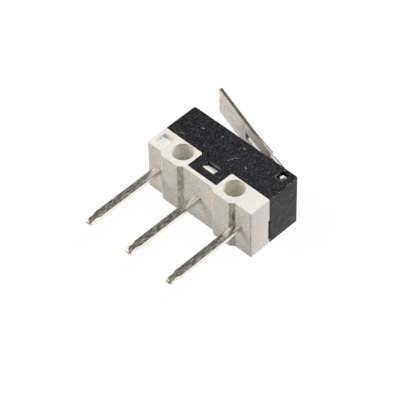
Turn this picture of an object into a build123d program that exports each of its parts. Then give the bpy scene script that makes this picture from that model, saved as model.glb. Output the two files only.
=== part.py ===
from build123d import *
import math
import os

# Subminiature snap-action switch with a hinged lever, lying on its broad side.
# X runs along the housing, Y from the solder pins up to the lever, Z through the thickness.
# The origin is midway between the two mounting holes, on the face that the switch lies on.

# Housing outline, with its length set by the solder pins and the wall past them
pin_pitch = 5.08
pin_end_margin = 1.42
body_thickness = 5.8
hole_pitch = 6.5
hole_diameter = 2.1
underside_drop = 1.30
seam_height = 1.13
cover_top_height = 4.9
cover_corner_radius = 0.2
base_corner_radius = 0.08

# Feet that stand the underside off a circuit board
foot_height = 0.35
foot_flat = 1.95
foot_run = 0.47
foot_offset = -0.15

# Cover walls, and its fit round the rim of the base
cover_wall = 0.6
cover_top_wall = 0.4
cover_fit = 0.03

# Rim and floor of the base inside the cover
floor_height = 1.45
rim_height = 2.3
rim_wall = 0.35

# Snap tongues of the cover, with the windows that catch on the base
tongue_width = 3.6
tongue_drop = 0.88
tongue_fit = 0.02
tongue_root_radius = 0.22
latch_window_width = 1.48
latch_window_offset = -0.05
latch_window_height = 0.99
latch_bar = 0.78
nub_fit = 0.08
nub_height = 0.9
nub_flat = 0.12
nub_inset = 0.08

# Parting groove along the foot of the cover's end walls
parting_groove_height = 0.08
parting_groove_depth = 0.12

# Locating key of the cover in the hinge end of the base
key_drop = 0.13
key_from = 0.55
key_to = 3.0

# Moulding pocket in one corner of the base
pocket_length = 1.25
pocket_height = 1.45
pocket_depth = 0.45
pocket_end_inset = 0.37
pocket_foot_inset = 0.44

# Solder pins, stamped from flat strip
pin_offset = -0.17
pin_width = 0.79
pin_thickness = 0.45
pin_length = 9.05
slot_fit = 0.02
tip_shoulder = 1.35
tip_neck = 0.85
tip_neck_width = 0.48
tip_nose = 0.55
tip_nose_width = 0.6
tip_bevel = 0.14
tip_lead_length = 0.26
tip_lead_depth = 0.14

# Arms of the terminals inside the housing
arm_height = 0.5
tower_width = 2.0
tower_margin = 0.45
closed_tower_height = 2.9
common_tower_height = 2.2

# Contacts
contact_x = -3.2
contact_tip_length = 0.8
contact_tip_width = 0.9
contact_tip_height = 0.22
contact_crown = 0.08
contact_touch = 0.01
contact_gap = 0.35
rivet_diameter = 1.1
rivet_head = 0.2
rivet_shank_diameter = 0.6
arm_overhang = 0.5

# Spring blade with its bowed tongue
blade_thickness = 0.1
blade_width = 2.6
blade_end_margin = 0.75
blade_window_start = -1.3
blade_window_end = 2.6
blade_window_width = 1.24
tongue_spring_width = 1.0
tongue_spring_drop = 0.6
anchor_slot_width = 0.6
anchor_slot_lead = 0.1
anchor_notch = 0.1
anchor_notch_height = 0.24
anchor_bar = 0.3
anchor_fit = 0.02
post_above_blade = 0.35
lug_width = 0.55
lug_x = 1.05
lug_groove_depth = 0.16
lug_groove_height = 0.34
lug_above_groove = 0.2

# Plunger
plunger_x = 1.2
plunger_length = 1.2
plunger_width = 1.4
plunger_crown = 0.9
plunger_fit = 0.04
plunger_stroke = 0.77
plunger_shoulder = 0.3
plunger_shoulder_height = 0.45
plunger_foot_height = 0.3
plunger_touch = 0.02

# Hinge of the lever: a rocking ear in a window of each side wall of the cover
pivot_from_end = 1.17
pivot_below_top = 0.82
pivot_window_length = 0.82
pivot_window_height = 1.05
pivot_fit = 0.06
ear_recess = 0.45
ear_nib_recess = 0.18
ear_nib_height = 0.42
top_opening_length = 0.9
top_opening_offset = 0.12
top_opening_fit = 0.12

# Lever
lever_thickness = 0.3
lever_width = 3.0
lever_free_angle = 14.8
lever_rise = 1.54
lever_straight = 7.13
lever_reach = 13.6
lever_tip_angle = 3.0
lever_bend_radius = 0.35
lever_tip_bend_radius = 6.0
lever_plunger_gap = 0.03
fork_slot_start = 8.1
fork_slot_width = 0.6
fork_slot_radius = 0.12
arm_pair_width = 2.4
notch_position = 3.8
notch_length = 0.25
notch_depth = 0.42

# How near an edge or corner lies to the place that picks it
nearness = 0.000001

# Places that follow from the sizes above
half_length = pin_pitch + pin_end_margin
middle_z = body_thickness / 2
open_pin_x = pin_offset
common_pin_x = pin_offset + pin_pitch
closed_pin_x = pin_offset - pin_pitch
underside = -underside_drop
pin_slot_width = pin_width + 2 * slot_fit
pin_slot_thickness = pin_thickness + 2 * slot_fit
cavity_half_length = half_length - cover_wall
cavity_half_thickness = middle_z - cover_wall
ceiling = cover_top_height - cover_top_wall
open_tip_top = floor_height + arm_height + contact_tip_height
rivet_bottom = open_tip_top + contact_touch + contact_gap
blade_bottom = rivet_bottom + rivet_head
blade_top = blade_bottom + blade_thickness
rivet_top = blade_top + rivet_head
closed_tip_bottom = rivet_top + contact_touch
closed_arm_bottom = closed_tip_bottom + contact_tip_height
pivot_x = half_length - pivot_from_end
pivot_y = cover_top_height - pivot_below_top


def block(x_from, x_to, y_from, y_to, z_from, z_to):
    """Plain block between two opposite corners."""
    corner = Pos(x_from, y_from, z_from)
    return corner * Box(x_to - x_from, y_to - y_from, z_to - z_from, align=(Align.MIN, Align.MIN, Align.MIN))


def centred_block(x_from, x_to, y_from, y_to, width):
    """Block that is centred on the middle plane of the thickness."""
    return block(x_from, x_to, y_from, y_to, middle_z - width / 2, middle_z + width / 2)


def plate(points, width):
    """Outline in the X-Y plane, thickened evenly about the middle plane."""
    outline = make_face(Polyline(*points, close=True))
    return Pos(0, 0, middle_z) * extrude(outline, amount=width / 2, both=True)


def mirrored(shape):
    """The same shape on the other side of the middle plane."""
    return mirror(shape, about=Plane.XY.offset(middle_z))


def foot(x_centre):
    """Foot under one mounting hole, with sloping ends."""
    flat = foot_flat / 2
    top = underside + foot_height
    points = [
        (x_centre - flat - foot_run, underside),
        (x_centre - flat, underside - foot_height),
        (x_centre + flat, underside - foot_height),
        (x_centre + flat + foot_run, underside),
        (x_centre + flat + foot_run, top),
        (x_centre - flat - foot_run, top),
    ]
    return plate(points, body_thickness)


def tongue_outline(clearance):
    """Outline of a snap tongue below the seam, with its roots flared into the cover."""
    half = tongue_width / 2 + clearance
    above = seam_height + cover_wall
    outline = make_face(Polyline(
        (-half - cover_wall, seam_height),
        (-half, seam_height),
        (-half, -tongue_drop - clearance),
        (half, -tongue_drop - clearance),
        (half, seam_height),
        (half + cover_wall, seam_height),
        (half + cover_wall, above),
        (-half - cover_wall, above),
        close=True,
    ))
    roots = [
        corner
        for corner in outline.vertices()
        if abs(corner.Y - seam_height) < nearness and abs(abs(corner.X) - half) < nearness
    ]
    flared = fillet(roots, radius=tongue_root_radius - clearance)
    strip = Pos(0, (seam_height + above) / 2) * Rectangle(2 * (half + cover_wall), cover_wall)
    return flared - strip


def nub():
    """Wedge on the base that the window of one snap tongue catches on."""
    bottom = -tongue_drop + latch_bar + nub_fit
    deep = body_thickness - cover_wall - tongue_fit
    high = body_thickness - nub_inset
    side = [
        (bottom, deep),
        (bottom, high),
        (bottom + nub_flat, high),
        (bottom + nub_height, deep),
    ]
    outline = make_face(Plane.YZ * Polyline(*side, close=True))
    half_width = latch_window_width / 2 - nub_fit
    return Pos(latch_window_offset, 0, 0) * extrude(outline, amount=half_width, both=True)


def tower(pin_x, top, inner_side):
    """Block that holds the root of an end terminal; inner_side is the way the cavity lies."""
    outer = -inner_side * (cavity_half_length - cover_fit)
    inner = pin_x + inner_side * (pin_width / 2 + tower_margin)
    return centred_block(min(outer, inner), max(outer, inner), floor_height, top, tower_width)


def make_base():
    """White moulded base: holes, feet, tongue recesses, rim, floor and terminal slots."""
    base = block(-half_length, half_length, underside, seam_height, 0, body_thickness)
    base = base.fillet(base_corner_radius, [
        edge
        for edge in base.edges().filter_by(Axis.Z)
        if abs(edge.center().Y - underside) < nearness
    ])
    for side in (-1, 1):
        base += foot(foot_offset + side * hole_pitch / 2)
    rim_x = cavity_half_length - cover_fit
    rim_z = cavity_half_thickness - cover_fit
    base += centred_block(-rim_x, rim_x, underside, rim_height, 2 * rim_z)
    base -= centred_block(
        -rim_x + rim_wall, rim_x - rim_wall, floor_height, rim_height, 2 * (rim_z - rim_wall)
    )
    base += tower(closed_pin_x, closed_tower_height, 1)
    base += tower(common_pin_x, common_tower_height, -1)
    base -= centred_block(lug_x, common_pin_x, floor_height, common_tower_height, pin_slot_thickness)
    recess_floor = body_thickness - cover_wall - tongue_fit
    recess = Pos(0, 0, recess_floor) * extrude(tongue_outline(tongue_fit), amount=cover_wall + tongue_fit)
    catch = recess - nub()
    base -= catch
    base -= mirrored(catch)
    for side in (-1, 1):
        base -= Pos(side * hole_pitch / 2, 0, middle_z) * Cylinder(hole_diameter / 2, 2 * body_thickness)
    for pin_x in (closed_pin_x, open_pin_x, common_pin_x):
        base -= centred_block(
            pin_x - pin_slot_width / 2,
            pin_x + pin_slot_width / 2,
            underside - foot_height,
            cover_top_height,
            pin_slot_thickness,
        )
    base -= block(
        cavity_half_length - cover_fit,
        half_length,
        seam_height - key_drop - tongue_fit,
        seam_height,
        key_from - tongue_fit,
        key_to + tongue_fit,
    )
    pocket_x = -half_length + pocket_end_inset
    pocket_y = underside + pocket_foot_inset
    base -= block(
        pocket_x,
        pocket_x + pocket_length,
        pocket_y,
        pocket_y + pocket_height,
        body_thickness - pocket_depth,
        body_thickness,
    )
    return base


def snap_tongue():
    """Snap tongue of the cover on the upper broad side, with its latch window."""
    tongue = Pos(0, 0, body_thickness - cover_wall) * extrude(tongue_outline(0), amount=cover_wall)
    window_bottom = -tongue_drop + latch_bar
    window = block(
        latch_window_offset - latch_window_width / 2,
        latch_window_offset + latch_window_width / 2,
        window_bottom,
        window_bottom + latch_window_height,
        0,
        2 * body_thickness,
    )
    return tongue - window


def make_cover():
    """Black moulded cover: shell, snap tongues, plunger hole and the hinge bay of the lever."""
    cover = block(-half_length, half_length, seam_height, cover_top_height, 0, body_thickness)
    cover = cover.fillet(cover_corner_radius, [
        edge
        for edge in cover.edges().filter_by(Axis.Z)
        if abs(edge.center().Y - cover_top_height) < nearness
    ])
    cover -= centred_block(
        -cavity_half_length, cavity_half_length, seam_height, ceiling, 2 * cavity_half_thickness
    )
    cover += block(
        cavity_half_length, half_length, seam_height - key_drop, seam_height, key_from, key_to
    )
    for side in (-1, 1):
        outer = side * half_length
        inner = side * (half_length - parting_groove_depth)
        cover -= block(
            min(inner, outer),
            max(inner, outer),
            seam_height,
            seam_height + parting_groove_height,
            0,
            body_thickness,
        )
    cover += snap_tongue()
    cover += mirrored(snap_tongue())
    hole_x = plunger_length / 2 + plunger_fit
    cover -= centred_block(
        plunger_x - hole_x,
        plunger_x + hole_x,
        ceiling,
        cover_top_height,
        plunger_width + 2 * plunger_fit,
    )
    window_half = pivot_window_length / 2
    window_top = pivot_y + pivot_window_height / 2
    cover -= centred_block(
        pivot_x - window_half,
        pivot_x + window_half,
        pivot_y - pivot_window_height / 2,
        window_top,
        2 * body_thickness,
    )
    opening_x = pivot_x + top_opening_offset
    cover -= centred_block(
        opening_x - top_opening_length / 2,
        opening_x + top_opening_length / 2,
        window_top,
        cover_top_height,
        arm_pair_width + 2 * top_opening_fit,
    )
    return cover


def pin(pin_x, top):
    """Stamped solder pin with a necked tip, from its free end up to the given height."""
    end = underside - pin_length
    half = pin_width / 2
    neck = tip_neck_width / 2
    nose = tip_nose_width / 2
    right = [
        (half, top),
        (half, end + tip_shoulder),
        (neck, end + tip_neck),
        (nose, end + tip_nose),
        (nose, end + tip_bevel),
        (nose - tip_bevel, end),
    ]
    left = [(-x, y) for x, y in reversed(right)]
    strip = plate([(pin_x + x, y) for x, y in right + left], pin_thickness)
    face = pin_thickness / 2
    blunt = face - tip_lead_depth
    upper = [(top, face), (end + tip_lead_length, face), (end, blunt)]
    lower = [(y, -z) for y, z in reversed(upper)]
    side = make_face(Plane.YZ * Polyline(*upper, *lower, close=True))
    return strip & (Pos(pin_x, 0, middle_z) * extrude(side, amount=half, both=True))


def make_common_terminal():
    """Common terminal: pin, blade post with its notch, and a low arm with the grooved lug."""
    post_top = blade_top + post_above_blade
    right = common_pin_x + pin_width / 2
    terminal = pin(common_pin_x, post_top)
    arm_top = floor_height + arm_height
    terminal += centred_block(lug_x, right, floor_height, arm_top, pin_thickness)
    groove_y = blade_bottom - tongue_spring_drop
    lug_top = groove_y + lug_groove_height / 2 + lug_above_groove
    terminal += centred_block(lug_x, lug_x + lug_width, floor_height, lug_top, pin_thickness)
    terminal -= plate(
        [
            (lug_x, groove_y - lug_groove_height / 2),
            (lug_x, groove_y + lug_groove_height / 2),
            (lug_x + lug_groove_depth, groove_y),
        ],
        pin_thickness,
    )
    notch_y = (blade_bottom + blade_top) / 2
    terminal -= plate(
        [
            (right, notch_y - anchor_notch_height / 2),
            (right, notch_y + anchor_notch_height / 2),
            (right - anchor_notch, notch_y + blade_thickness / 2 + anchor_fit),
            (right - anchor_notch, notch_y - blade_thickness / 2 - anchor_fit),
        ],
        pin_thickness,
    )
    return terminal


def make_open_terminal():
    """Normally open terminal: middle pin, and an arm along the floor to the contact."""
    arm_top = floor_height + arm_height
    terminal = pin(open_pin_x, arm_top)
    arm_end = contact_x - arm_overhang
    right = open_pin_x + pin_width / 2
    terminal += centred_block(arm_end, right, floor_height, arm_top, pin_thickness)
    return terminal


def make_closed_terminal():
    """Normally closed terminal: end pin, riser, and an arm that reaches over the contact."""
    arm_top = closed_arm_bottom + arm_height
    terminal = pin(closed_pin_x, arm_top)
    left = closed_pin_x - pin_width / 2
    arm_end = contact_x + arm_overhang
    terminal += centred_block(left, arm_end, closed_arm_bottom, arm_top, pin_thickness)
    return terminal


def contact_tip(y_from, y_to, crown_y):
    """Contact tip welded to the edge of a terminal arm, with eased edges on its working face."""
    half = contact_tip_length / 2
    tip = centred_block(contact_x - half, contact_x + half, y_from, y_to, contact_tip_width)
    edges = [
        edge
        for edge in tip.edges()
        if abs(edge.center().Y - crown_y) < nearness
    ]
    return chamfer(edges, length=contact_crown)


def make_moving_contact():
    """Double-headed rivet through the end of the spring blade."""
    upright = Pos(contact_x, 0, middle_z) * Rot(-90, 0, 0)
    shank_height = rivet_top - rivet_bottom
    lower = Pos(0, 0, rivet_bottom) * Cylinder(
        rivet_diameter / 2, rivet_head, align=(Align.CENTER, Align.CENTER, Align.MIN)
    )
    upper = Pos(0, 0, blade_top) * Cylinder(
        rivet_diameter / 2, rivet_head, align=(Align.CENTER, Align.CENTER, Align.MIN)
    )
    shank = Pos(0, 0, rivet_bottom) * Cylinder(
        rivet_shank_diameter / 2, shank_height, align=(Align.CENTER, Align.CENTER, Align.MIN)
    )
    return upright * (lower + upper + shank)


def blade_tongue():
    """Tongue of the blade: an arc that leaves it level and ends in the groove of the lug."""
    start = (blade_window_start, blade_bottom + blade_thickness / 2)
    end = (lug_x, blade_bottom - tongue_spring_drop)
    bow = TangentArc(start, end, tangent=(1, 0))
    lower = offset(bow, amount=blade_thickness / 2, side=Side.BOTH)
    return Pos(0, 0, middle_z) * extrude(make_face(lower), amount=tongue_spring_width / 2, both=True)


def make_spring_blade():
    """Spring blade: flat frame with side strips, anchor slot, rivet hole and bowed tongue."""
    rear_inner = common_pin_x + pin_width / 2 - anchor_notch + anchor_fit
    front = contact_x - blade_end_margin
    blade = centred_block(front, rear_inner + anchor_bar, blade_bottom, blade_top, blade_width)
    blade -= centred_block(
        blade_window_start, blade_window_end, blade_bottom, blade_top, blade_window_width
    )
    slot_front = common_pin_x - pin_width / 2 - anchor_slot_lead
    blade -= centred_block(slot_front, rear_inner, blade_bottom, blade_top, anchor_slot_width)
    hole = Cylinder(rivet_shank_diameter / 2, 4 * blade_thickness)
    blade -= Pos(contact_x, blade_bottom, middle_z) * Rot(-90, 0, 0) * hole
    return blade + blade_tongue()


def lever_face_height(x):
    """Height of the lever's inner face above the given place, at rest."""
    angle = math.radians(lever_free_angle)
    inner = (lever_rise - lever_thickness) / math.cos(angle)
    return pivot_y + inner + (pivot_x - x) * math.tan(angle)


def make_plunger():
    """Plunger: domed head through the cover, shoulder under it, and a foot that straddles the lug."""
    angle = math.radians(lever_free_angle)
    crown_lift = plunger_crown / math.cos(angle) - plunger_crown
    top = lever_face_height(plunger_x) - crown_lift - lever_plunger_gap
    half = plunger_length / 2
    head = centred_block(plunger_x - half, plunger_x + half, ceiling - plunger_fit, top, plunger_width)
    dome = Pos(plunger_x, top - plunger_crown, middle_z) * Cylinder(plunger_crown, plunger_width)
    below_dome = centred_block(
        plunger_x - half, plunger_x + half, ceiling - plunger_fit, top - plunger_crown, plunger_width
    )
    head = below_dome + (head & dome)
    foot_bottom = blade_top + plunger_touch
    shoulder = centred_block(
        plunger_x - half - plunger_shoulder,
        plunger_x + half + plunger_shoulder,
        ceiling - plunger_fit - plunger_shoulder_height,
        ceiling - plunger_fit,
        blade_width,
    )
    stem = centred_block(plunger_x - half, plunger_x + half, foot_bottom, ceiling - plunger_fit, blade_width)
    arch = centred_block(
        plunger_x - half - plunger_shoulder,
        plunger_x + half + plunger_shoulder,
        foot_bottom,
        foot_bottom + plunger_stroke + plunger_foot_height - plunger_touch,
        blade_window_width,
    )
    return head + shoulder + (stem - arch)


def lever_strip():
    """Bent strip of the lever, in its own frame: pivot at the origin, free end towards -X."""
    middle = lever_rise - lever_thickness / 2
    tilt = math.radians(lever_tip_angle)
    tip_run = (lever_reach - lever_straight) * math.cos(tilt)
    tip_rise = (lever_reach - lever_straight) * math.sin(tilt)
    ear_half = pivot_window_height / 2 - pivot_fit
    path = FilletPolyline(
        (-lever_straight - tip_run, middle + tip_rise),
        (-lever_straight, middle),
        (0, middle),
        (0, -ear_half),
        radius=[lever_tip_bend_radius, lever_bend_radius],
    )
    start = path @ 0
    along = path % 0
    section = Plane(origin=start, x_dir=(0, 0, 1), z_dir=along) * Rectangle(lever_width, lever_thickness)
    return sweep(section, path=path)


def plan_cut(points):
    """Cutter with the given plan outline, through the whole height of the lever."""
    outline = make_face(Plane.XZ * Polyline(*points, close=True))
    return extrude(outline, amount=lever_reach, both=True)


def fork_slot():
    """Slot that splits the hinge half of the lever into two arms, with eased corners where it ends."""
    length = fork_slot_start + lever_thickness
    outline = Pos(lever_thickness - length / 2, 0) * Rectangle(length, fork_slot_width)
    closed_end = outline.vertices().sort_by(Axis.X)[:2]
    eased = fillet(closed_end, radius=fork_slot_radius)
    return extrude(Plane.XZ * eased, amount=lever_reach, both=True)


def arm_side_cut():
    """What is trimmed off one side of the arms: a notch, and a narrower run up to the hinge."""
    edge = lever_width / 2
    arm = arm_pair_width / 2
    points = [
        (-notch_position - notch_length, 2 * edge),
        (-notch_position - notch_length, edge - notch_depth),
        (-notch_position, edge - notch_depth),
        (-notch_position, arm),
        (lever_thickness, arm),
        (lever_thickness, 2 * edge),
    ]
    return plan_cut(points)


def ear():
    """Ear at the end of one arm: a flat tongue that rocks in the cover's window, with a short nib."""
    ear_half = pivot_window_height / 2 - pivot_fit
    inner = fork_slot_width / 2
    outer = body_thickness / 2 - ear_recess
    nib_end = body_thickness / 2 - ear_nib_recess
    tongue = extrude(SlotOverall(2 * ear_half, lever_thickness, rotation=90), amount=outer - inner)
    nib = extrude(Rectangle(lever_thickness, ear_nib_height), amount=nib_end - inner)
    return Pos(0, 0, inner) * (tongue + nib)


def make_lever():
    """Stamped lever: paddle, forked arms, hinge bend and the two ears, at its free position."""
    lever = lever_strip()
    lever -= fork_slot()
    for side_cut in (arm_side_cut(), mirror(arm_side_cut(), about=Plane.XY)):
        lever -= side_cut
    lever += ear()
    lever += mirror(ear(), about=Plane.XY)
    return Pos(pivot_x, pivot_y, middle_z) * Rot(0, 0, -lever_free_angle) * lever


closed_tip_top = closed_tip_bottom + contact_tip_height
open_tip_bottom = open_tip_top - contact_tip_height

pieces = {
    "base": make_base(),
    "cover": make_cover(),
    "plunger": make_plunger(),
    "lever": make_lever(),
    "common_terminal": make_common_terminal(),
    "normally_open_terminal": make_open_terminal(),
    "normally_closed_terminal": make_closed_terminal(),
    "normally_open_contact": contact_tip(open_tip_bottom, open_tip_top, open_tip_top),
    "normally_closed_contact": contact_tip(closed_tip_bottom, closed_tip_top, closed_tip_bottom),
    "moving_contact": make_moving_contact(),
    "spring_blade": make_spring_blade(),
}

os.makedirs("parts", exist_ok=True)
for name, shape in pieces.items():
    export_step(shape, "parts/" + name + ".step")
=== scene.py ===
import math

import bmesh
import bpy
import numpy as np
from mathutils import Matrix, Vector


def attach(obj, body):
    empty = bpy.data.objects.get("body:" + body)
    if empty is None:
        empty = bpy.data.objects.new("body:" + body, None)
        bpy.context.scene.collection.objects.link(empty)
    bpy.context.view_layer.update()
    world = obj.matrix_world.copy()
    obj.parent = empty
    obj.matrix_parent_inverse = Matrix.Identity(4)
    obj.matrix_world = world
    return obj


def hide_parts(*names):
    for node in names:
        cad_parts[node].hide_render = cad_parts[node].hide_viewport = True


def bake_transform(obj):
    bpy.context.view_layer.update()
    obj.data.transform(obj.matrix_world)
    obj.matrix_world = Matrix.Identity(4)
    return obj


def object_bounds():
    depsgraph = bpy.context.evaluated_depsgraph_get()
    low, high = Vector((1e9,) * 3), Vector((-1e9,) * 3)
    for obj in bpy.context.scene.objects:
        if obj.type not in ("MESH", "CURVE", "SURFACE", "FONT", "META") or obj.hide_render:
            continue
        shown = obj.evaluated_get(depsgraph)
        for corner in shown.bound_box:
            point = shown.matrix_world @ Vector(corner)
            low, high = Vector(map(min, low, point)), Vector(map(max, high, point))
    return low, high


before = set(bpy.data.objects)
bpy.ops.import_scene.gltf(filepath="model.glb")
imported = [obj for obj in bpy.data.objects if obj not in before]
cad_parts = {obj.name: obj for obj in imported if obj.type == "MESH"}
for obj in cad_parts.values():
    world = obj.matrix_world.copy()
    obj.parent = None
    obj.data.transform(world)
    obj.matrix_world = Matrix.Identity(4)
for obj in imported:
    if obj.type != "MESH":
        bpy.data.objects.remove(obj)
cad_low, cad_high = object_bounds()


# Housing in millimetres, with X along it and Y from the pins up to the lever

MM = 0.001
THICKNESS = (cad_high[2] - cad_low[2]) / MM
MIDDLE = THICKNESS / 2
HOLES = (-3.25, 3.25)  # X of each mounting hole
PINS = (-5.25, -0.17, 4.91)  # X of each solder pin
UNDERSIDE = -1.3  # Y of the face that the pins leave
LATCH = (-0.05, 0.4)  # X and Y of the cover's latch windows


# Lever

HINGE = (5.33, 4.08)  # X and Y of its axis
LEVER_LEAN = math.radians(14.8)
SLOT_END = 8.12  # along the strip from the hinge


# Spring blade, with its places in X

BLADE_CUTS = (-3.75, 5.5, 0.25)  # first cut, end of the cuts and the step between them
BLADE_ANCHOR = 5.2
BLADE_FOOT = (0.6, 1.8)  # where the plunger's foot stands on it
BLADE_SEAM = -2.5
BLADE_KINK = 0.04
TONGUE_ROOT = -1.3
TONGUE_GROOVE = 1.05
TONGUE_SIDE = 0.55  # from the middle plane out into the slots beside the tongue
HEEL_START = 1.2
PLUNGER_TRAVEL = 4.41  # millimetres for each radian of the lever
CONTACT_TURN = 0.225  # radians for each radian of the lever


# How a finish is put together


class Finish:
    """A material and its node tree, put together one node at a time."""

    def __init__(self, name):
        self.material = bpy.data.materials.new(name)
        self.material.use_nodes = True
        self.tree = self.material.node_tree
        self.shader = self.tree.nodes["Principled BSDF"]
        self.place = self.add("ShaderNodeTexCoord").outputs["Object"]

    def add(self, kind, inputs=(), **settings):
        """A node with its settings and inputs; an input is a value or another node's socket."""
        node = self.tree.nodes.new(kind)
        for key, value in settings.items():
            setattr(node, key, value)
        for key, value in dict(inputs).items():
            self.put(node.inputs[key], value)
        return node

    def put(self, socket, value):
        """Sets a socket to a value, or links another socket to it."""
        if isinstance(value, bpy.types.NodeSocket):
            self.tree.links.new(value, socket)
        else:
            socket.default_value = value

    def set(self, **inputs):
        """Sets the shader's own sockets; an underscore stands for a space in a socket's name."""
        for key, value in inputs.items():
            self.put(self.shader.inputs[key.replace("_", " ")], value)

    def math(self, operation, a, b=0.0):
        """One number from one or two."""
        return self.add("ShaderNodeMath", {0: a, 1: b}, operation=operation).outputs[0]

    def product(self, *values):
        """The product of some numbers."""
        result = values[0]
        for value in values[1:]:
            result = self.math("MULTIPLY", result, value)
        return result

    def largest(self, *values):
        """The largest of some numbers."""
        result = values[0]
        for value in values[1:]:
            result = self.math("MAXIMUM", result, value)
        return result

    def shares(self, *parts):
        """The sum of some numbers, each with its share in front of it."""
        result = 0.0
        for share, value in parts:
            result = self.math("ADD", result, self.product(share, value))
        return result

    def away(self, value, centre):
        """How far a number is from a centre, on either side."""
        return self.math("ABSOLUTE", self.math("SUBTRACT", value, centre))

    def coordinate(self, axis):
        """The place on the piece along one axis, in millimetres."""
        split = self.add("ShaderNodeSeparateXYZ", {0: self.place})
        return self.math("DIVIDE", split.outputs[axis], MM)

    def facing(self, axis):
        """How far the surface faces along an axis, from -1 to 1."""
        normal = self.add("ShaderNodeNewGeometry").outputs["Normal"]
        return self.add("ShaderNodeSeparateXYZ", {0: normal}).outputs[axis]

    def walls(self):
        """Mask of the faces that stand upright: 1 on walls, 0 on the broad sides."""
        return self.spread(self.math("ABSOLUTE", self.facing(2)), 0.3, 0.6, 1, 0)

    def stretched(self, scale, turn=0.0):
        """The place on the piece in millimetres, turned about Z and stretched by a scale on each axis."""
        inputs = {"Vector": self.place, "Rotation": (0, 0, turn), "Scale": [s / MM for s in scale]}
        return self.add("ShaderNodeMapping", inputs, vector_type="POINT").outputs[0]

    def noise(self, scale, detail=2.0, roughness=0.5, turn=0.0):
        """Cloudy noise with the given number of cells to a millimetre on each axis, from 0 to 1."""
        inputs = {
            "Vector": self.stretched(scale, turn),
            "Scale": 1.0,
            "Detail": detail,
            "Roughness": roughness,
        }
        return self.add("ShaderNodeTexNoise", inputs).outputs[0]

    def spread(self, value, low, high, to_low, to_high):
        """Maps one range of a value to another, and holds it there past both ends."""
        inputs = {0: value, 1: low, 2: high, 3: to_low, 4: to_high}
        return self.add("ShaderNodeMapRange", inputs, clamp=True).outputs[0]

    def ramp(self, value, *stops):
        """Colour along a ramp; each stop is a place from 0 to 1 and a linear colour."""
        node = self.add("ShaderNodeValToRGB", {0: value})
        points = node.color_ramp.elements
        while len(points) < len(stops):
            points.new(0.5)
        for point, (position, colour) in zip(points, stops):
            point.position = position
            point.color = (*colour, 1)
        return node.outputs[0]

    def mix(self, share, one, other):
        """Colour that goes from one to the other with the share."""
        node = self.add("ShaderNodeMix", data_type="RGBA")
        self.put(node.inputs[0], share)
        for socket, value in ((node.inputs[6], one), (node.inputs[7], other)):
            self.put(socket, value if isinstance(value, bpy.types.NodeSocket) else (*value, 1))
        return node.outputs[2]

    def bump(self, height, depth):
        """Bump of the given depth in millimetres on the shader's normal."""
        node = self.add("ShaderNodeBump", {"Height": height, "Distance": depth * MM, "Strength": 1.0})
        self.put(self.shader.inputs["Normal"], node.outputs[0])

    def patch(self, centre, size):
        """Mask of a box in millimetres: 1 at its centre, 0 at its faces and below 0 outside it.

        It is 1 less the largest of the distances from the centre on each axis, over the half sizes."""
        place = self.place
        steps = (
            ("SUBTRACT", [value * MM for value in centre]),
            ("ABSOLUTE", (0, 0, 0)),
            ("DIVIDE", [value / 2 * MM for value in size]),
        )
        for operation, values in steps:
            place = self.add("ShaderNodeVectorMath", {0: place, 1: values}, operation=operation).outputs[0]
        x, y, z = self.add("ShaderNodeSeparateXYZ", {0: place}).outputs
        return self.math("SUBTRACT", 1.0, self.largest(x, y, z))

    def box(self, centre, size, fade=0.01):
        """Mask of a box in millimetres, 1 inside it and 0 outside, with a fade at its faces."""
        return self.spread(self.patch(centre, size), 0.0, fade, 0, 1)

    def streak(self, x, y, angle, length, width):
        """Mask of one short mark in the X-Y plane, in millimetres.

        It is 1 less the larger of the distances along and across the mark, each over its half size."""
        turn = -math.radians(angle)
        split = self.add("ShaderNodeSeparateXYZ", {0: self.stretched((1, 1, 1), turn)})
        centre_along = x * math.cos(turn) - y * math.sin(turn)
        centre_across = x * math.sin(turn) + y * math.cos(turn)
        along = self.math("DIVIDE", self.away(split.outputs[0], centre_along), length / 2)
        across = self.math("DIVIDE", self.away(split.outputs[1], centre_across), width / 2)
        return self.math("SUBTRACT", 1.0, self.largest(along, across))


# Plastics


def dirt_and_shade(finish):
    """Mask of dark marks on the base, part grime and part painted shade, broken into blots.

    The marks stand at given places, some of them painted shade, as in the pocket's corner and on
    the foot slopes, and painted shade lies round the roots of the pins. A mark has its place in X, Y
    and Z, its size in X and Z, and its strength."""
    marks = (
        (-2.02, -1.4, 3.3, 0.14, 0.16, 1.5),
        (-2.70, -1.3, 2.46, 0.14, 0.14, 1.0),
        (-0.45, -1.3, 3.35, 0.22, 0.12, 1.0),
        (-0.28, -1.3, 3.18, 0.18, 0.12, 1.0),
        (4.40, -1.45, 3.85, 0.30, 1.5, 2.2),
        (4.24, -1.45, 2.75, 0.5, 0.9, 1.4),
        (-6.13, 0.59, 5.45, 0.4, 0.5, 0.35),
        (6.50, -1.65, 1.7, 0.16, 2.8, 1.0),
        (-4.37, -1.65, 1.9, 0.10, 1.5, 1.4),
        (-2.05, -1.3, 3.9, 0.5, 2.6, 0.5),
    )
    dark_marks = []
    for x, y, z, across, tall, strength in marks:
        dark_marks.append(finish.spread(finish.patch((x, y, z), (across, 0.9, tall)), 0.0, 0.6, 0.0, strength))
    # Painted shade round the root of each pin.
    for x in PINS:
        pin_root_shade = finish.patch((x, UNDERSIDE, MIDDLE), (1.5, 0.9, 1.0))
        dark_marks.append(finish.spread(pin_root_shade, 0.0, 0.7, 0.0, 0.55))
    blots = finish.noise((5, 5, 3), 3, 0.7)
    return finish.product(finish.largest(*dark_marks), finish.spread(blots, 0.42, 0.62, 0.25, 1))


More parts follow.
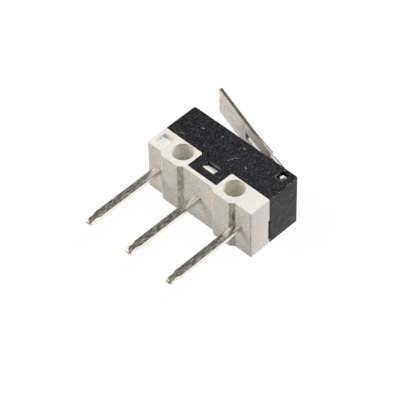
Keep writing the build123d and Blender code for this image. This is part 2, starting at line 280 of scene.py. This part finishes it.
def white_moulding():
    """Off-white satin plastic of the base.

    Clouds, mottle and drag marks along Z make the pale ground. The walls are rubbed and warmer, the
    slopes of the feet that face the hinge end carry painted shade, the pocket and the bores carry
    painted light and shade, the catches a painted light, and dark marks are part grime and part
    painted shade."""
    finish = Finish("white_moulding")
    clouds = finish.noise((0.7, 0.7, 0.7), 3, 0.6)
    mottle = finish.noise((3.2, 3.2, 2.0), 3, 0.6)
    drags = finish.noise((4.5, 4.5, 0.7), 2)
    pale = finish.ramp(
        finish.shares((0.3, clouds), (0.5, mottle), (0.2, drags)),
        (0.33, (0.79, 0.778, 0.76)),
        (0.5, (0.85, 0.845, 0.832)),
        (0.67, (0.89, 0.888, 0.882)),
    )
    rubbed = finish.ramp(
        finish.noise((8.0, 8.0, 5.5), 3, 0.8),
        (0.38, (0.61, 0.585, 0.56)),
        (0.49, (0.84, 0.832, 0.825)),
        (0.58, (0.95, 0.947, 0.945)),
    )
    walls = finish.walls()
    colour = finish.mix(finish.product(walls, 0.8), pale, rubbed)

    # Painted shade on the slopes of the feet that face the hinge end, broken up by noise.
    sideways = finish.facing(0)
    tilted = finish.spread(sideways, 0.25, 0.35, 0, 1)
    slopes = finish.product(tilted, finish.spread(sideways, 0.85, 0.95, 1, 0))
    slope_shade_noise = finish.noise((5, 5, 1.6), 3, 0.75)
    painted_slope_shade = finish.ramp(slope_shade_noise, (0.40, (0.50, 0.44, 0.38)), (0.58, (0.84, 0.81, 0.77)))
    colour = finish.mix(finish.product(slopes, walls), colour, painted_slope_shade)
    # Dark marks, part grime and part painted shade, over the colour.
    colour = finish.mix(dirt_and_shade(finish), colour, (0.20, 0.165, 0.13))

    # Painted light on the pocket's floor and painted shade on its walls.
    pocket = finish.box((-5.505, -0.135, 5.55), (1.3, 1.5, 0.49))
    colour = finish.mix(pocket, colour, finish.mix(walls, (0.95, 0.935, 0.915), (0.84, 0.825, 0.815)))
    # Painted light, near white, on the catch nubs in the latch windows.
    catches = finish.box((*LATCH, MIDDLE), (1.5, 1.0, THICKNESS))
    colour = finish.mix(catches, colour, (1.0, 0.965, 0.91))
    # Painted light and shade on the walls of the bores: pale, with warm brown shading.
    bores = finish.largest(*[finish.patch((x, 0, MIDDLE), (2.14, 2.14, 5.6)) for x in HOLES])
    bore_light_and_shade = finish.ramp(
        finish.noise((7, 7, 2.2), 3, 0.75),
        (0.38, (0.74, 0.70, 0.63)),
        (0.60, (0.98, 0.96, 0.91)),
    )
    colour = finish.mix(finish.spread(bores, 0.0, 0.02, 0, 1), colour, bore_light_and_shade)

    finish.set(Base_Color=colour, Specular_IOR_Level=0.5)
    finish.set(Roughness=finish.spread(clouds, 0.3, 0.7, 0.42, 0.52))
    finish.bump(finish.noise((9, 9, 5), 3, 0.6), 0.006)
    return finish.material


def lint(finish, grain):
    """Mask of the pale lint marks on the cover, broken up by its grain.

    A mark has its place in X and Y, its angle in degrees, its length and its width."""
    marks = (
        (-3.99, 3.42, 25, 0.32, 0.09),
        (-4.98, 1.65, 10, 0.50, 0.08),
        (-2.42, 1.92, 40, 0.22, 0.08),
        (-1.96, 3.88, 20, 0.22, 0.08),
        (0.54, 4.14, -15, 0.34, 0.10),
        (0.47, 2.12, 60, 0.30, 0.08),
        (0.64, 2.45, 85, 0.36, 0.08),
        (0.84, 2.78, 35, 0.34, 0.08),
        (2.26, 2.49, -20, 0.38, 0.10),
        (4.18, 3.48, 30, 0.16, 0.08),
    )
    shown = finish.largest(0.0, *[finish.streak(*mark) for mark in marks])
    return finish.product(finish.spread(shown, 0.0, 0.5, 0, 0.8), finish.spread(grain, 0.3, 0.6, 0.3, 1))


def black_moulding():
    """Matt black plastic of the cover, with a fine spark-eroded grain.

    The end wall by the hinge has a painted pale sheen that fades downwards, the upper side has lint and
    a paler broken rim round the hinge window, and the side of the latch window that faces the pins has
    a painted pale reflection."""
    finish = Finish("black_moulding")
    grain = finish.noise((12.5, 12.5, 12.5), 1, 0.6)
    clouds = finish.noise((1.2, 1.2, 1.2), 2)
    colour = finish.ramp(
        grain,
        (0.50, (0.0, 0.0, 0.002)),
        (0.56, (0.001, 0.001, 0.005)),
        (0.66, (0.088, 0.088, 0.107)),
    )

    height = finish.coordinate(2)
    # Painted pale sheen on the end wall by the hinge, fading downwards.
    end_wall = finish.spread(finish.facing(0), 0.8, 0.95, 0, 1)
    sheen_noise = finish.noise((5.5, 5.5, 5.5), 3, 0.8)
    painted_end_sheen = finish.ramp(sheen_noise, (0.46, (0.0, 0.0, 0.0)), (0.58, (0.10, 0.090, 0.095)))
    end_sheen = finish.product(end_wall, finish.spread(height, 1.0, THICKNESS, 0.2, 1))
    colour = finish.mix(end_sheen, colour, painted_end_sheen)

    upper_side = finish.spread(height, THICKNESS - 0.06, THICKNESS - 0.04, 0, 1)
    colour = finish.mix(finish.product(lint(finish, grain), upper_side), colour, (0.55, 0.55, 0.57))

    # Painted pale reflection on the wall of the latch window that faces the pins; its other walls stay
    # dark.
    window = finish.box((*LATCH, THICKNESS), (1.6, 1.12, 0.7), 0.25)
    towards_pins = finish.spread(finish.facing(1), -0.8, -0.3, 1, 0)
    painted_window_reflection = finish.mix(towards_pins, (0.035, 0.035, 0.037), (0.33, 0.34, 0.37))
    colour = finish.mix(finish.product(window, finish.walls()), colour, painted_window_reflection)

    # A paler broken rim on the upper side round the hinge window.
    around_hinge = finish.box((*HINGE, THICKNESS), (0.96, 1.19, 0.4), 0.05)
    pale_runs = finish.spread(finish.noise((3, 3, 3), 2), 0.42, 0.6, 0, 1)
    colour = finish.mix(finish.product(around_hinge, upper_side, pale_runs), colour, (0.22, 0.22, 0.225))

    finish.set(Base_Color=colour, Specular_IOR_Level=0.25)
    finish.set(Roughness=finish.spread(finish.math("ADD", grain, clouds), 0.85, 1.15, 0.40, 0.58))
    finish.bump(grain, 0.03)
    return finish.material


def black_edges():
    """Edges of the black cover, with painted highlights in broken, paler runs.

    The painted highlights are brightest, up to white, on the edge between the upper side and the end
    wall by the hinge."""
    finish = Finish("black_edges")
    runs = finish.noise((3.2, 3.2, 3.2), 3, 0.7)
    # Painted highlights in paler runs along the edges.
    dull = finish.ramp(
        runs,
        (0.48, (0.006, 0.006, 0.007)),
        (0.62, (0.06, 0.06, 0.063)),
        (0.75, (0.14, 0.14, 0.14)),
    )
    # Painted highlights up to white, used on the edge between the upper side and the end wall.
    rubbed = finish.ramp(
        runs,
        (0.50, (0.008, 0.008, 0.009)),
        (0.54, (0.4, 0.4, 0.4)),
        (0.58, (1.0, 1.0, 1.0)),
    )
    end = finish.spread(finish.math("MINIMUM", finish.facing(0), finish.facing(2)), 0.25, 0.4, 0, 1)
    finish.set(Base_Color=finish.mix(end, dull, rubbed), Specular_IOR_Level=0.04)
    finish.set(Roughness=finish.spread(runs, 0.4, 0.7, 0.85, 0.6))
    finish.bump(finish.noise((8, 8, 8), 2), 0.006)
    return finish.material


def smooth_black():
    """Smooth black plastic of the plunger."""
    finish = Finish("smooth_black")
    clouds = finish.noise((2, 2, 2), 2)
    colour = finish.ramp(clouds, (0.3, (0.012, 0.012, 0.014)), (0.7, (0.02, 0.02, 0.023)))
    finish.set(Base_Color=colour, Roughness=finish.spread(clouds, 0.3, 0.7, 0.3, 0.4))
    finish.bump(finish.noise((12, 12, 12)), 0.003)
    return finish.material


# Metals


def lever_places(finish):
    """Places along the lever's strip, through its depth and up it, in millimetres from the hinge.

    The first two are dot products with the strip's direction and with its normal."""
    hinge = Vector((*HINGE, 0))
    strip = Vector((-math.cos(LEVER_LEAN), math.sin(LEVER_LEAN), 0))
    normal = Vector((math.sin(LEVER_LEAN), math.cos(LEVER_LEAN), 0))
    places = []
    for direction in (strip, normal):
        inputs = {0: finish.place, 1: direction / MM}
        distance = finish.add("ShaderNodeVectorMath", inputs, operation="DOT_PRODUCT").outputs["Value"]
        places.append(finish.math("SUBTRACT", distance, hinge.dot(direction)))
    return (*places, finish.coordinate(2))


def lever_face(finish, tone, painted_arm_light, along, height):
    """Colour of the strip's faces: mottled grey, with painted light on the arms' inner side and painted
    shade where the slot ends.
    """
    face = finish.ramp(
        tone,
        (0.40, (0.54, 0.52, 0.495)),
        (0.5, (0.78, 0.765, 0.74)),
        (0.58, (0.88, 0.87, 0.85)),
    )
    # Painted light, near white, on the inner side of the arms.
    pale = finish.ramp(tone, (0.38, (0.88, 0.85, 0.81)), (0.6, (1.0, 0.985, 0.96)))
    face = finish.mix(painted_arm_light, face, pale)
    # Painted shade on the faces round the slot's closed end.
    from_end = finish.math("DIVIDE", finish.away(along, SLOT_END), 0.40)
    from_middle = finish.math("DIVIDE", finish.away(height, 2.86), 0.48)
    mark = finish.math("SUBTRACT", 1.0, finish.largest(from_end, from_middle))
    return finish.mix(finish.spread(mark, 0, 0.25, 0, 1), face, (0.035, 0.03, 0.024))


def rolled_steel():
    """Dull stainless strip of the lever: a mottled rolled face and sheared edges.

    The edges are brown out to the tip and paler on the arms. In the slot the lower one has a painted
    highlight, near white, and the upper one painted shade, and the heel has a near-white painted
    highlight with a brown rim. The heel's edges, the slot's lower one and the arms' inner side are
    dull, with no metallic share."""
    finish = Finish("rolled_steel")
    along, depth, height = lever_places(finish)
    grain = finish.noise((2.5, 8, 9), 3, 0.65, LEVER_LEAN)
    clouds = finish.noise((1.5, 1.5, 1.5), 3)
    specks = finish.noise((7, 7, 7), 2, 0.7)
    tone = finish.shares((0.36, grain), (0.24, clouds), (0.4, specks))
    inner_side = finish.spread(finish.facing(1), -0.2, 0.2, 1, 0)
    # Mask of the painted light on the arms' inner side.
    painted_arm_light = finish.product(finish.spread(along, 4.0, 8.5, 1, 0), inner_side)
    face = lever_face(finish, tone, painted_arm_light, along, height)

    tears = finish.noise((4, 9, 9), 3, 0.7, LEVER_LEAN)
    brown = finish.ramp(tears, (0.38, (0.05, 0.042, 0.034)), (0.66, (0.25, 0.22, 0.19)))
    pale = finish.ramp(tears, (0.38, (0.42, 0.38, 0.34)), (0.6, (0.78, 0.74, 0.69)))
    painted_slot_light = finish.ramp(
        tears,
        (0.30, (0.25, 0.22, 0.19)),
        (0.40, (0.90, 0.89, 0.87)),
        (0.6, (1.0, 1.0, 1.0)),
    )

    arms = finish.spread(along, 5.2, 6.6, 1, 0)
    middle = finish.spread(finish.away(depth, 1.39), 0.06, 0.12, 1, 0)
    edge = finish.mix(finish.product(middle, arms), brown, pale)
    # In the slot: a painted highlight, near white, on the lower edge and painted shade on the upper one.
    in_slot = finish.spread(finish.away(height, MIDDLE), 0.33, 0.36, 1, 0)
    low = finish.spread(height, 2.72, 2.84, 1, 0)
    edge = finish.mix(in_slot, edge, finish.mix(low, (0.05, 0.04, 0.03), painted_slot_light))
    # Painted highlight, near white, on the heel's edges, with a brown rim.
    heel = finish.spread(along, 3.7, 4.2, 1, 0)
    rim = finish.spread(depth, 1.42, 1.46, 0, 1)
    edge = finish.mix(heel, edge, finish.mix(rim, (0.95, 0.93, 0.90), (0.12, 0.10, 0.085)))
    ends = finish.spread(finish.math("ABSOLUTE", finish.facing(0)), 0.6, 0.85, 0, 1)
    edge = finish.mix(finish.product(ends, arms), edge, (0.84, 0.79, 0.73))

    flat = finish.spread(finish.math("ABSOLUTE", finish.facing(2)), 0.5, 0.9, 0, 1)
    sheared = finish.largest(flat, ends)
    dull = finish.largest(finish.product(heel, sheared), finish.product(in_slot, low, sheared), painted_arm_light)
    finish.set(Base_Color=finish.mix(sheared, face, edge), Metallic=finish.spread(dull, 0, 1, 0.35, 0))
    finish.set(Roughness=finish.spread(tone, 0.3, 0.7, 0.52, 0.42))
    finish.bump(grain, 0.004)
    return finish.material


def bright_plating():
    """Bright tin over stamped brass, with ripples and dull patches.

    It is warmer on the sheared sides, and shinier at the roots of the pins."""
    finish = Finish("bright_plating")
    ripples = finish.noise((5.5, 1.0, 5.5), 3, 0.6)
    specks = finish.noise((7, 1.6, 7), 4, 0.8)
    broad = finish.ramp(
        specks,
        (0.38, (0.21, 0.205, 0.195)),
        (0.5, (0.53, 0.515, 0.49)),
        (0.60, (0.95, 0.93, 0.90)),
    )
    shiny = finish.ramp(specks, (0.38, (0.84, 0.84, 0.84)), (0.50, (1.0, 1.0, 1.0)))
    roots = finish.spread(finish.coordinate(1), UNDERSIDE - 2.0, UNDERSIDE - 1.6, 0, 1)
    sheared = finish.ramp(specks, (0.36, (0.70, 0.64, 0.56)), (0.52, (0.98, 0.93, 0.86)))
    colour = finish.mix(finish.walls(), finish.mix(roots, broad, shiny), sheared)
    finish.set(Base_Color=colour, Metallic=1.0)
    smoother = finish.spread(roots, 0, 1, 1, 0.5)
    finish.set(Roughness=finish.product(finish.spread(specks, 0.35, 0.6, 0.22, 0.34), smoother))
    finish.bump(ripples, 0.016)
    return finish.material


def tarnished_edges():
    """Rolled-over edges of the plated strips, dull and brown from handling."""
    finish = Finish("tarnished_edges")
    wear = finish.noise((5, 2.5, 5), 3, 0.7)
    colour = finish.ramp(
        wear,
        (0.4, (0.10, 0.085, 0.065)),
        (0.58, (0.24, 0.205, 0.16)),
        (0.7, (0.5, 0.46, 0.4)),
    )
    finish.set(Base_Color=colour, Metallic=0.6)
    finish.set(Roughness=finish.spread(wear, 0.3, 0.7, 0.55, 0.4))
    finish.bump(wear, 0.006)
    return finish.material


def contact_silver():
    """Silver alloy of the contacts, slightly dulled."""
    finish = Finish("contact_silver")
    clouds = finish.noise((4, 4, 4), 3)
    colour = finish.ramp(clouds, (0.3, (0.62, 0.60, 0.56)), (0.7, (0.80, 0.79, 0.76)))
    finish.set(Base_Color=colour, Metallic=1.0, Roughness=finish.spread(clouds, 0.3, 0.7, 0.4, 0.25))
    finish.bump(finish.noise((10, 10, 10)), 0.003)
    return finish.material


def spring_bronze():
    """Copper alloy of the spring blade, with a rolling grain along X."""
    finish = Finish("spring_bronze")
    grain = finish.noise((1, 10, 14), 3)
    colour = finish.ramp(grain, (0.3, (0.50, 0.30, 0.14)), (0.7, (0.66, 0.44, 0.24)))
    finish.set(Base_Color=colour, Metallic=1.0, Roughness=finish.spread(grain, 0.3, 0.7, 0.38, 0.26))
    finish.bump(grain, 0.002)
    return finish.material


# Pieces


def merged_copy(node):
    """The mesh of a solid as one closed skin, ready to be worked on."""
    work = bmesh.new()
    work.from_mesh(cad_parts[node].data)
    bmesh.ops.remove_doubles(work, verts=work.verts, dist=0.0005 * MM)
    return work


def shown_piece(work, name, node, slot, *materials):
    """A piece made from a finished skin, in place of a solid."""
    bmesh.ops.recalc_face_normals(work, faces=work.faces)
    mesh = bpy.data.meshes.new(name)
    work.to_mesh(mesh)
    work.free()
    for material in materials:
        mesh.materials.append(material)
    piece = bpy.data.objects.new(name, mesh)
    bpy.context.scene.collection.objects.link(piece)
    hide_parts(node)
    return piece


def eased_copy(node, name, body, slot, radius, *materials):
    """Copy of a solid with every sharp edge rounded to a radius in millimetres.

    Its flat faces are joined, then each edge that turns more than 32 degrees gets a round of three
    faces, in the second material if there is one."""
    work = merged_copy(node)
    bmesh.ops.dissolve_limit(work, angle_limit=math.radians(0.5), verts=work.verts, edges=work.edges)
    piece = shown_piece(work, name, node, slot, *materials)
    piece.data.shade_smooth()
    rounding = piece.modifiers.new("rounding", "BEVEL")
    rounding.width = radius * MM
    rounding.segments = 3
    rounding.limit_method = "ANGLE"
    rounding.angle_limit = math.radians(32)
    rounding.miter_outer = "MITER_ARC"
    rounding.harden_normals = True
    rounding.material = 1 if len(materials) > 1 else -1
    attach(piece, body)


def dress(node, material):
    """Gives a solid that stays as it is its own finish."""
    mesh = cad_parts[node].data
    mesh.materials.clear()
    mesh.materials.append(material)


def blade_part(name, keep, material):
    """The part of the spring blade whose faces the rule keeps, cut across at planes along X.

    The rule gets the middle of a face in millimetres; the open ends are closed again."""
    work = merged_copy("spring_blade")
    borders = (BLADE_SEAM + BLADE_KINK, TONGUE_ROOT, HEEL_START)
    for x in np.append(np.arange(*BLADE_CUTS), borders):
        everything = [*work.verts, *work.edges, *work.faces]
        plane = {"plane_co": (x * MM, 0, 0), "plane_no": (1, 0, 0)}
        bmesh.ops.bisect_plane(work, geom=everything, dist=0.0001 * MM, **plane)
    gone = [face for face in work.faces if not keep(*(face.calc_center_median() / MM))]
    bmesh.ops.delete(work, geom=gone, context="FACES")
    bmesh.ops.holes_fill(work, edges=[edge for edge in work.edges if edge.is_boundary])
    return shown_piece(work, name, "spring_blade", "blade_metal", material)


def step_place(share):
    """Where along a smooth step, from 0 to 1, it reaches a share of its rise.

    It is a half less the sine of a third of the angle whose sine is 1 less twice the share."""
    return 0.5 - math.sin(math.asin(1 - 2 * share) / 3)


def smooth_step(share):
    """Height of a smooth step at a share of its length: three times its square less twice its cube."""
    return share * share * (3 - 2 * share)


def spring_blade():
    """The spring blade in four parts: the end with the contact, the side strips, the heel and the tongue.

    The end with the contact swings with the contact. The strips, the heel and the tongue stay where
    they are: bend only bakes in their transform, and the spans worked out for them go unused."""
    bronze = spring_bronze()
    foot_start, foot_end = BLADE_FOOT

    def in_tongue(x, z):
        room = 0.1
        return TONGUE_ROOT < x < TONGUE_GROOVE + room and abs(z - MIDDLE) < TONGUE_SIDE

    def in_strips(x, y, z):
        return BLADE_SEAM + BLADE_KINK < x < HEEL_START and not in_tongue(x, z)

    def bend(piece, one, other, start, end):
        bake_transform(piece)

    contact_end = blade_part("blade_contact_end", lambda x, y, z: x < BLADE_SEAM, bronze)
    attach(contact_end, "moving_contact")

    strips = blade_part("blade_strips", in_strips, bronze)
    seam_drop = CONTACT_TURN * (BLADE_ANCHOR - BLADE_SEAM) / PLUNGER_TRAVEL
    length = (foot_start - BLADE_SEAM) / (1 - step_place(seam_drop))
    bend(strips, "housing", "plunger", foot_start - length, foot_start)

    heel = blade_part("blade_heel", lambda x, y, z: x > HEEL_START, bronze)
    bend(heel, "housing", "plunger", BLADE_ANCHOR, foot_end)

    tongue = blade_part("blade_tongue", lambda x, y, z: in_tongue(x, z), bronze)
    root_drop = smooth_step((TONGUE_ROOT - foot_start + length) / length)
    reach = (TONGUE_GROOVE - TONGUE_ROOT) / (1 - step_place(1 - root_drop))
    bend(tongue, "plunger", "housing", TONGUE_GROOVE - reach, TONGUE_GROOVE)


plated = (bright_plating(), tarnished_edges())
silver = contact_silver()
eased_copy("base", "moulded_base", "housing", "base_plastic", 0.025, white_moulding())
eased_copy("cover", "moulded_cover", "housing", "cover_plastic", 0.06, black_moulding(), black_edges())
eased_copy("plunger", "plunger_button", "plunger", "plunger_plastic", 0.04, smooth_black())
eased_copy("lever", "stamped_lever", "lever", "lever_steel", 0.03, rolled_steel())
for circuit in ("common", "normally_open", "normally_closed"):
    eased_copy(f"{circuit}_terminal", f"{circuit}_strip", "housing", "terminal_metal", 0.05, *plated)
for contact in ("normally_open_contact", "normally_closed_contact", "moving_contact"):
    dress(contact, silver)
spring_blade()


# Studio


def studio_floor():
    """Round white floor whose rim curves up into a low wall, open above.

    Each ring has the radius and height of a point on a profile: flat out to the bend, a quarter
    round, then straight up."""
    flat_radius, bend_radius, wall_top = 0.55, 0.15, 0.34
    flat = np.linspace(0.0, flat_radius, 12)
    bend = np.linspace(0, math.pi / 2, 16)[1:]
    rise = np.linspace(bend_radius, wall_top, 4)[1:]
    rim = np.full_like(rise, flat_radius + bend_radius)
    radius = np.concatenate([flat, flat_radius + bend_radius * np.sin(bend), rim])
    height = np.concatenate([np.zeros_like(flat), bend_radius * (1 - np.cos(bend)), rise])
    turn = np.linspace(0, 2 * math.pi, 96, endpoint=False)
    rows, columns = len(radius), len(turn)
    x = np.outer(radius, np.cos(turn))
    y = np.outer(radius, np.sin(turn))
    z = np.repeat(height[:, None], columns, axis=1)
    row, column = np.meshgrid(np.arange(rows - 1), np.arange(columns), indexing="ij")
    here, beside = row * columns + column, row * columns + (column + 1) % columns
    faces = np.stack([here, here + columns, beside + columns, beside], -1)
    mesh = bpy.data.meshes.new("studio_floor")
    mesh.from_pydata(np.stack([x, y, z], -1).reshape(-1, 3).tolist(), [], faces.reshape(-1, 4).tolist())
    mesh.materials.append(floor_paper())
    mesh.shade_smooth()
    floor = bpy.data.objects.new("studio_floor", mesh)
    floor.location = (0, 0, -0.01 * MM)
    bpy.context.scene.collection.objects.link(floor)


def floor_paper():
    """Pale paper that looks pure white away from the shadow, also in reflections."""
    finish = Finish("floor_paper")
    finish.set(Base_Color=(0.45, 0.45, 0.45, 1), Roughness=0.9, Specular_IOR_Level=0.1)
    path = finish.add("ShaderNodeLightPath").outputs
    rays = ("Is Camera Ray", "Is Glossy Ray", "Is Transmission Ray")
    seen = finish.product(finish.largest(*[path[ray] for ray in rays]), 0.9)
    glow = finish.add("ShaderNodeEmission", {"Color": (1, 1, 1, 1), "Strength": 1.06})
    shown = finish.add("ShaderNodeMixShader", {0: seen, 1: finish.shader.outputs[0], 2: glow.outputs[0]})
    finish.put(finish.tree.nodes["Material Output"].inputs["Surface"], shown.outputs[0])
    return finish.material


def lamp(name, direction, distance, size, power, colour):
    """Square soft lamp that looks at the switch from a direction, at a distance in metres."""
    light = bpy.data.lights.new(name, "AREA")
    light.shape = "SQUARE"
    light.size = size
    light.energy = power
    light.color = colour
    shown = bpy.data.objects.new(name, light)
    out = Vector(direction).normalized()
    shown.location = out * distance
    shown.rotation_euler = (-out).to_track_quat("-Z", "Y").to_euler()
    bpy.context.scene.collection.objects.link(shown)


def soft_air():
    """World that fills in the shadows with a faint warm white."""
    world = bpy.data.worlds.new("studio_air")
    bpy.context.scene.world = world
    world.use_nodes = True
    background = world.node_tree.nodes["Background"].inputs
    background["Color"].default_value = (1.0, 0.98, 0.91, 1)
    background["Strength"].default_value = 0.205


def photo_camera():
    """Camera of the photograph: direction, roll, distance and lens from the housing's corners."""
    azimuth, elevation, roll = math.radians(45.104), math.radians(47.843), math.radians(-1.196)
    distance = 230.058 * MM
    target = Vector((-1.731, 0.544, 0)) * MM
    focal_pixels, photo_width = 2484.563, 400
    back = Vector((
        math.sin(azimuth) * math.cos(elevation),
        -math.cos(azimuth) * math.cos(elevation),
        math.sin(elevation),
    ))
    level = Vector((0, 0, 1)).cross(back).normalized()
    upright = back.cross(level)
    right = math.cos(roll) * level + math.sin(roll) * upright
    up = math.cos(roll) * upright - math.sin(roll) * level
    data = bpy.data.cameras.new("photo_camera")
    data.sensor_width = 36
    data.lens = data.sensor_width * focal_pixels / photo_width
    data.clip_start = 0.01
    data.clip_end = 10
    camera = bpy.data.objects.new("photo_camera", data)
    turned = Matrix((right, up, back)).transposed().to_4x4()
    camera.matrix_world = Matrix.Translation(target + back * distance) @ turned
    bpy.context.scene.collection.objects.link(camera)
    bpy.context.scene.camera = camera


studio_floor()
lamp("left_lamp", (-0.65, -0.5, 0.57), 0.6, 0.45, 2.07, (1.0, 0.87, 0.69))
lamp("right_lamp", (0.62, 0.74, 0.25), 0.6, 0.3, 1.85, (1.0, 0.83, 0.75))
lamp("overhead_lamp", (0.2, 0.3, 0.93), 0.55, 0.2, 1.45, (0.9, 1.0, 1.02))
soft_air()
bpy.context.scene.view_settings.view_transform = "Standard"
photo_camera()
